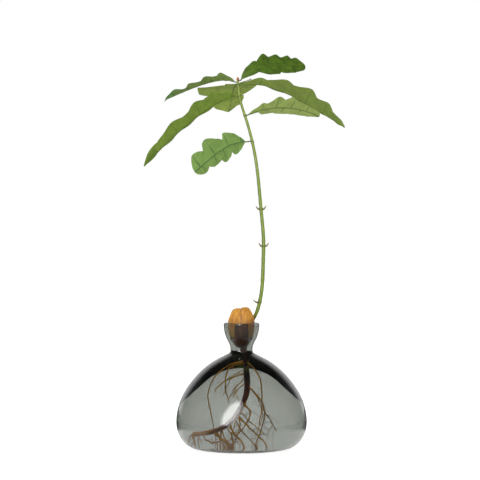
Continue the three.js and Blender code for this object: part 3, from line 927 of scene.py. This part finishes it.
def margin(t, knots):
    """The blade's width to one side at each share of the midrib. Between knots (share, width) it goes half by
    an eased step and half by a quarter ellipse, so that lobes are round and bays are narrow. From TIP_START
    on it rounds off like a quarter ellipse."""
    at, width = np.array(knots, dtype=float).T
    k = np.clip(np.searchsorted(at, t, side="right") - 1, 0, len(at) - 2)
    s = np.clip((t - at[k]) / (at[k + 1] - at[k]), 0, 1)
    rising = width[k + 1] > width[k]
    from_bay = np.where(rising, s, 1 - s)
    share = 0.5 * from_bay**2 * (3 - 2 * from_bay) + 0.5 * np.sqrt(1 - (1 - from_bay) ** 2)
    s = np.where(rising, share, 1 - share)
    end = np.sqrt(1 - (np.clip(t - TIP_START, 0, None) / (1 - TIP_START)) ** 2)
    return (width[k] * (1 - s) + width[k + 1] * s) * end


def lobe_count(t, knots):
    """A whole number at each lobe's tip and even steps between: where the side veins run."""
    at, width = np.array(knots, dtype=float).T
    tips = at[1:-1][(width[1:-1] >= width[:-2]) & (width[1:-1] >= width[2:])]
    step_length = np.diff(tips).mean() if len(tips) > 1 else 0.2
    tips = np.concatenate([[tips[0] - step_length], tips, [tips[-1] + step_length]])
    return np.interp(t, tips, np.arange(len(tips)))


def leaf_blade(midrib, left, right, roll, fold, twist=0, lean=0.3, wave=0.8, rows=190, columns=88):
    """A closed thin solid. The midrib is the cubic through four points. Across it the blade runs out to its
    left and right margins, turned about the midrib by roll and twist degrees, and folded up by fold on each
    side. Points move forward with their distance out, by lean, so that lobes point to the tip.
    The face bulges between side veins and waves near its margin. Returns points, faces and attributes."""
    t = np.linspace(0, 1, rows)[:, None]
    ring = np.linspace(0, 2 * np.pi, columns, endpoint=False)[None]
    across = -np.sign(np.cos(ring)) * np.abs(np.cos(ring)) ** 1.6
    below = (np.sin(ring) < 0) * 1.0
    on_left = across > 0
    width = np.where(on_left, margin(t, left), margin(t, right))
    phase = np.where(on_left, lobe_count(t, left), lobe_count(t, right))
    reach = np.maximum(width, 0) * np.abs(across)
    corners = np.array(midrib, dtype=float)
    thirds = np.vander(np.linspace(0, 1, 4), increasing=True)
    factors = np.linalg.solve(thirds, corners)
    length = np.linalg.norm(np.diff(corners, axis=0), axis=1).sum()
    forward = np.minimum(t + lean * reach / length * (1 - t), 1)
    powers = np.stack([forward**k for k in range(4)], axis=-1)
    slopes = np.stack([k * forward ** max(k - 1, 0) for k in range(4)], axis=-1)
    way = slopes @ factors
    way /= np.linalg.norm(way, axis=-1, keepdims=True)
    side = np.cross(np.array([0.0, 0, 1]), way)
    side /= np.linalg.norm(side, axis=-1, keepdims=True)
    normal = np.cross(way, side)
    turn = np.radians(roll + twist * t)[..., None]
    out = side * np.cos(turn) + normal * np.sin(turn)
    face = normal * np.cos(turn) - side * np.sin(turn)
    stalk = STALK_RADIUS * (1 - 0.45 * step(0.1, 0.9, t))
    total = reach + stalk * np.abs(across)
    blade = step(0.035, 0.11, t)
    veins = np.abs(np.sin(np.pi * phase))
    quilt = 0.4 * (veins - 0.5) * np.minimum(1, reach / 5) * step(1, 0.7, np.abs(across))
    ruffle = wave * across**2 * np.sin(2 * np.pi * (phase + 0.25)) * np.minimum(1, width / 8)
    rib = 0.55 * (1 - 0.65 * t) * np.exp(-((total / (0.8 - 0.3 * t)) ** 2)) * below
    side_rib = 0.14 * np.exp(-((veins / 0.22) ** 2)) * (1 - np.abs(across)) * below
    rim = np.sqrt(np.maximum(1 - across**2, 0))
    half = (stalk * (1 - blade) + BLADE_HALF_THICKNESS * blade) * rim + blade * (rib + side_rib) * rim
    closed = (t > 0) & (t < 1)
    lift = total * np.sin(np.radians(fold)) + blade * (quilt + ruffle)
    lift = lift + half * np.where(below > 0, -1, 1)
    span = np.sign(across) * total * np.cos(np.radians(fold))
    points = powers @ factors + closed[..., None] * (out * span[..., None] + face * lift[..., None])
    foot = stem_fine[np.argmin(np.linalg.norm(stem_fine - corners[0], axis=1))]
    points[0] = foot
    points[1] += foot - points[1].mean(axis=0)
    shape = points.shape[:2]
    attributes = dict(phase=phase, reach=reach, across=np.abs(across), underside=np.sin(ring) < 1e-9)
    attributes = {key: np.broadcast_to(value, shape) for key, value in attributes.items()}
    return points.reshape(-1, 3), grid_faces(*shape, wrap=True), attributes, length


LEAVES = {
    "leaf_top_right": dict(
        midrib=[(-1.6, 1.6, 337.6), (16.2, 10, 351.5), (36.9, 22, 355), (59.4, 35, 356.6)],
        left=[
            (0.04, 0), (0.3, 8), (0.35, 7.4), (0.47, 15), (0.53, 11.5), (0.65, 13.5), (0.71, 11),
            (0.82, 12.4), (0.87, 9.6), (0.93, 10), (1, 8),
        ],
        right=[
            (0.04, 0), (0.2, 6), (0.26, 5.4), (0.42, 13), (0.5, 14.6), (0.58, 10), (0.74, 13),
            (0.82, 9.5), (0.9, 10), (1, 7),
        ],
        roll=44,
        fold=2,
        upper=(60, 86, 8),
        under=(100, 118, 44),
        vein=(88, 108, 34),
    ),
    "leaf_top_left": dict(
        midrib=[(-5.4, 1.4, 336.6), (-23.1, 8, 338.6), (-46.5, 20, 332.6), (-71.7, 32, 323)],
        left=[
            (0.04, 0), (0.2, 9), (0.26, 7), (0.4, 10), (0.47, 8), (0.6, 12), (0.66, 9), (0.78, 15),
            (0.84, 11), (0.9, 16), (1, 14),
        ],
        right=[
            (0.04, 0), (0.16, 8), (0.2, 7), (0.31, 13), (0.37, 8), (0.5, 9), (0.56, 6), (0.7, 8),
            (0.76, 6), (0.88, 8), (1, 6),
        ],
        roll=30,
        twist=-70,
        fold=18,
        upper=(70, 104, 50),
        under=(112, 134, 64),
        vein=(84, 104, 50),
    ),
    "leaf_back": dict(
        midrib=[(-3.4, 1.6, 335), (-7.6, 26, 333.5), (-9.8, 52, 326), (-12.8, 75, 315)],
        left=[
            (0.04, 0), (0.1, 9), (0.15, 9), (0.22, 29), (0.3, 33), (0.48, 31), (0.56, 22), (0.64, 25),
            (0.72, 26), (0.8, 17), (0.88, 14), (1, 4),
        ],
        right=[
            (0.04, 0), (0.08, 14), (0.13, 16), (0.18, 9), (0.24, 26), (0.33, 28), (0.39, 15),
            (0.45, 24), (0.55, 24), (0.63, 10), (0.7, 13), (0.8, 13), (1, 4),
        ],
        roll=-11,
        fold=9,
        lean=0.08,
        upper=(76, 104, 36),
        under=(127, 146, 60),
        vein=(88, 108, 44),
    ),
    "leaf_long_left": dict(
        midrib=[(-4.2, -0.8, 323.6), (-27, -10, 314.2), (-57.1, -24, 289.6), (-87.7, -35, 257.3)],
        left=[
            (0.04, 0), (0.2, 8), (0.3, 14.5), (0.36, 12.6), (0.46, 16.5), (0.53, 13), (0.6, 12.6),
            (0.68, 15), (0.78, 12.5), (0.83, 9), (0.9, 8), (1, 2),
        ],
        right=[
            (0.04, 0), (0.22, 9), (0.28, 8), (0.42, 14), (0.5, 12), (0.62, 14), (0.72, 10), (0.82, 10),
            (0.9, 6), (1, 2),
        ],
        roll=34,
        fold=16,
        upper=(78, 108, 24),
        under=(110, 134, 44),
        vein=(78, 104, 28),
    ),
    "leaf_long_right": dict(
        midrib=[(-1.3, -0.6, 333.2), (27.6, -7, 331), (60.7, -16, 314.4), (93.5, -25, 293)],
        left=[
            (0.04, 0), (0.2, 7), (0.26, 6.4), (0.45, 15), (0.52, 14.6), (0.66, 20), (0.71, 16),
            (0.82, 17), (0.87, 12), (0.93, 9), (1, 2),
        ],
        right=[
            (0.04, 0), (0.22, 7), (0.28, 6.4), (0.44, 14), (0.5, 12.5), (0.64, 18), (0.7, 14),
            (0.8, 14), (0.86, 9), (0.93, 7), (1, 2),
        ],
        roll=-26,
        fold=22,
        upper=(80, 104, 38),
        under=(107, 126, 50),
        vein=(74, 98, 38),
    ),
    "leaf_lower_right": dict(
        midrib=[(4.9, 1, 306), (23, 9, 312.6), (46.4, 18, 314), (72.8, 27, 306.8)],
        left=[
            (0.05, 0), (0.18, 5), (0.23, 4.4), (0.36, 15), (0.45, 9.5), (0.57, 16), (0.66, 11),
            (0.78, 13), (0.86, 8), (0.93, 7), (1, 5),
        ],
        right=[
            (0.05, 0), (0.26, 7), (0.32, 6), (0.46, 12), (0.54, 9.5), (0.66, 14), (0.74, 10),
            (0.84, 11), (0.9, 8), (1, 6),
        ],
        roll=-32,
        fold=14,
        upper=(88, 110, 44),
        under=(136, 154, 78),
        vein=(50, 78, 34),
    ),
    "leaf_lower_left": dict(
        midrib=[(6.2, -0.9, 281.8), (-9.4, -8, 278.6), (-23.6, -14, 269.6), (-42.6, -20, 253)],
        left=[
            (0.06, 0), (0.16, 5), (0.28, 10), (0.4, 12.6), (0.45, 6.8), (0.55, 11.8), (0.68, 17),
            (0.73, 16), (0.785, 9.6), (0.86, 13), (0.92, 13.6), (1, 10),
        ],
        right=[
            (0.06, 0), (0.14, 7), (0.2, 10), (0.26, 10), (0.34, 6.2), (0.44, 11), (0.52, 13.2),
            (0.58, 11.6), (0.62, 7.6), (0.7, 9.6), (0.76, 9), (0.83, 5), (0.9, 8.6), (1, 7),
        ],
        roll=76,
        fold=4,
        lean=0.1,
        upper=(96, 128, 56),
        under=(114, 144, 70),
        vein=(58, 92, 46),
    ),
}
for name, leaf in LEAVES.items():
    upper, under, vein = (colour(*leaf.pop(key)) for key in ("upper", "under", "vein"))
    points, faces, attributes, length = leaf_blade(**leaf)
    spacing = length / np.ptp(attributes["phase"])
    leaf_green = leaf_material(name + "_green", upper, under, vein, spacing)
    blade = mesh_object(name + "_blade", points, faces, leaf_green, **attributes)
    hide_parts(name)
    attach(blade, "seedling")
